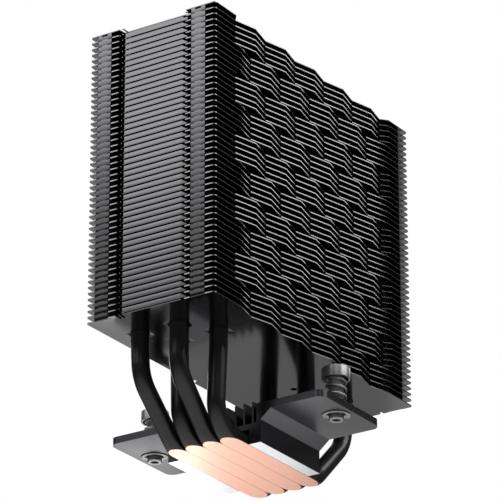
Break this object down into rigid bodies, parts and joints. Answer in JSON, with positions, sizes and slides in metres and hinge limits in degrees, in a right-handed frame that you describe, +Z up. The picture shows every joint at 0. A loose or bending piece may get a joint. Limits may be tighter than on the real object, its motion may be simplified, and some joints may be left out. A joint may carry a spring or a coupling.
{
  "type": "cpu tower cooler",
  "caption": "Tower heatsink for a processor: a stack of zigzag-edged black fins on bent heat pipes, over a direct-touch base with spring-loaded screws.",
  "frame": {"origin": "middle of the contact face under the base", "axes": "+Z up from the contact face to the top fin, +X along the wide faces of the fins, -Y towards the zigzag front edges"},
  "size_m": [0.12, 0.0824, 0.1392],
  "materials": {
    "fins": "black nickel plate",
    "pipes": "black paint on copper, bare copper on the flats",
    "base": "black anodised, machined bright on the contact face",
    "fasteners": "bright nickel plate"
  },
  "bodies": {
    "cooler": {"fin_01": "fins", "fin_02": "fins", "fin_03": "fins", "fin_04": "fins", "fin_05": "fins", "fin_06": "fins", "fin_07": "fins", "fin_08": "fins", "fin_09": "fins", "fin_10": "fins", "fin_11": "fins", "fin_12": "fins", "fin_13": "fins", "fin_14": "fins", "fin_15": "fins", "fin_16": "fins", "fin_17": "fins", "fin_18": "fins", "fin_19": "fins", "fin_20": "fins", "fin_21": "fins", "fin_22": "fins", "fin_23": "fins", "fin_24": "fins", "fin_25": "fins", "fin_26": "fins", "fin_27": "fins", "fin_28": "fins", "fin_29": "fins", "fin_30": "fins", "fin_31": "fins", "fin_32": "fins", "fin_33": "fins", "fin_34": "fins", "fin_35": "fins", "fin_36": "fins", "fin_37": "fins", "fin_38": "fins", "fin_39": "fins", "fin_40": "fins", "fin_41": "fins", "fin_42": "fins", "fin_43": "fins", "fin_44": "fins", "fin_45": "fins", "fin_46": "fins", "fin_47": "fins", "fin_48": "fins", "top_fin_pair": "fins", "heat_pipe_front": "pipes", "heat_pipe_front_middle": "pipes", "heat_pipe_rear_middle": "pipes", "heat_pipe_rear": "pipes", "base_block": "base", "front_spring": "fasteners", "rear_spring": "fasteners"},
    "front_clip": {"front_retaining_clip": "fasteners"},
    "front_nut": {"front_spring_nut": "fasteners"},
    "rear_clip": {"rear_retaining_clip": "fasteners"},
    "rear_nut": {"rear_spring_nut": "fasteners"}
  },
  "joints": [
    {"name": "front_nut_press", "type": "slide", "parent": "cooler", "child": "front_clip", "axis": [0, 0, -1], "range_m": [0, 0.004], "stiffness_N_per_m": 5000, "springref_m": -0.003, "deforming": ["front_spring"]},
    {"name": "front_nut_turn", "type": "hinge", "parent": "front_clip", "child": "front_nut", "pos_m": [0, -0.03525, 0.0182], "axis": [0, 0, 1], "continuous": true},
    {"name": "rear_nut_press", "type": "slide", "parent": "cooler", "child": "rear_clip", "axis": [0, 0, -1], "range_m": [0, 0.004], "stiffness_N_per_m": 5000, "springref_m": -0.003, "deforming": ["rear_spring"]},
    {"name": "rear_nut_turn", "type": "hinge", "parent": "rear_clip", "child": "rear_nut", "pos_m": [0, 0.03525, 0.0182], "axis": [0, 0, 1], "continuous": true}
  ]
}
